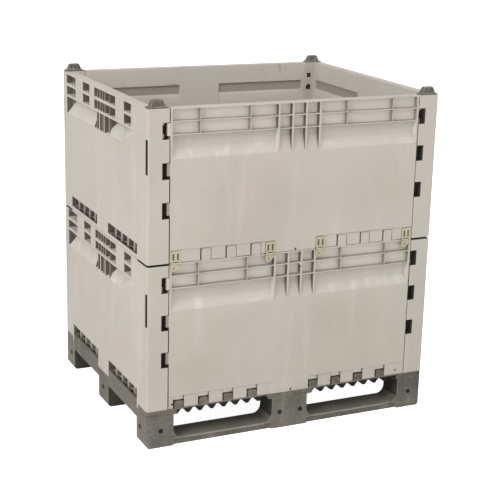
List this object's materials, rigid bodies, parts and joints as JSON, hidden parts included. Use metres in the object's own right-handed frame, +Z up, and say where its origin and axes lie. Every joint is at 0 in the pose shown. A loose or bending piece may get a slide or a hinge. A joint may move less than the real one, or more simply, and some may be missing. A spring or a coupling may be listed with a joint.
{
  "type": "collapsible pallet box",
  "caption": "Two-tier plastic pallet box on a three-skid base, with ribbed walls, corner posts, stacking studs and drop-down upper long sides.",
  "frame": {"origin": "centre of the footprint, on the floor", "axes": "+X along the long front side to the right, +Y from the front to the back, +Z up"},
  "size_m": [1.2, 1.01, 1.32],
  "materials": {
    "wall": "moulded polyethylene, warm light grey, satin",
    "base": "moulded polyethylene, dark warm grey, scuffed",
    "clip": "moulded nylon, cream yellow",
    "rod": "drawn steel rod"
  },
  "bodies": {
    "base": {"pallet_deck": "base", "skid_front": "base", "skid_middle": "base", "skid_back": "base", "lower_front_wall": "wall", "lower_back_wall": "wall", "lower_left_wall": "wall", "lower_right_wall": "wall", "upper_left_wall": "wall", "upper_right_wall": "wall", "front_base_rod_1": "rod", "front_base_rod_2": "rod", "back_base_rod_1": "rod", "back_base_rod_2": "rod", "left_base_rod_1": "rod", "left_tier_rod_1": "rod", "left_base_rod_2": "rod", "left_tier_rod_2": "rod", "right_base_rod_1": "rod", "right_tier_rod_1": "rod", "right_base_rod_2": "rod", "right_tier_rod_2": "rod", "front_clip_base_1": "clip", "front_clip_pin_1": "rod", "front_clip_base_2": "clip", "front_clip_pin_2": "rod", "front_clip_base_3": "clip", "front_clip_pin_3": "rod", "front_clip_base_4": "clip", "front_clip_pin_4": "rod", "front_left_stud": "base", "front_right_stud": "base", "back_clip_base_1": "clip", "back_clip_pin_1": "rod", "back_clip_base_2": "clip", "back_clip_pin_2": "rod", "back_clip_base_3": "clip", "back_clip_pin_3": "rod", "back_clip_base_4": "clip", "back_clip_pin_4": "rod", "back_left_stud": "base", "back_right_stud": "base"},
    "front_door": {"upper_front_wall": "wall", "front_clip_leaf_1": "clip", "front_clip_leaf_2": "clip", "front_clip_leaf_3": "clip", "front_clip_leaf_4": "clip"},
    "back_door": {"upper_back_wall": "wall", "back_clip_leaf_1": "clip", "back_clip_leaf_2": "clip", "back_clip_leaf_3": "clip", "back_clip_leaf_4": "clip"}
  },
  "joints": [
    {"name": "front_door_hinge", "type": "hinge", "parent": "base", "child": "front_door", "pos_m": [0, -0.5015, 0.72], "axis": [1, 0, 0], "range_deg": [0, 180]},
    {"name": "back_door_hinge", "type": "hinge", "parent": "base", "child": "back_door", "pos_m": [0, 0.5015, 0.72], "axis": [-1, 0, 0], "range_deg": [0, 180]}
  ]
}
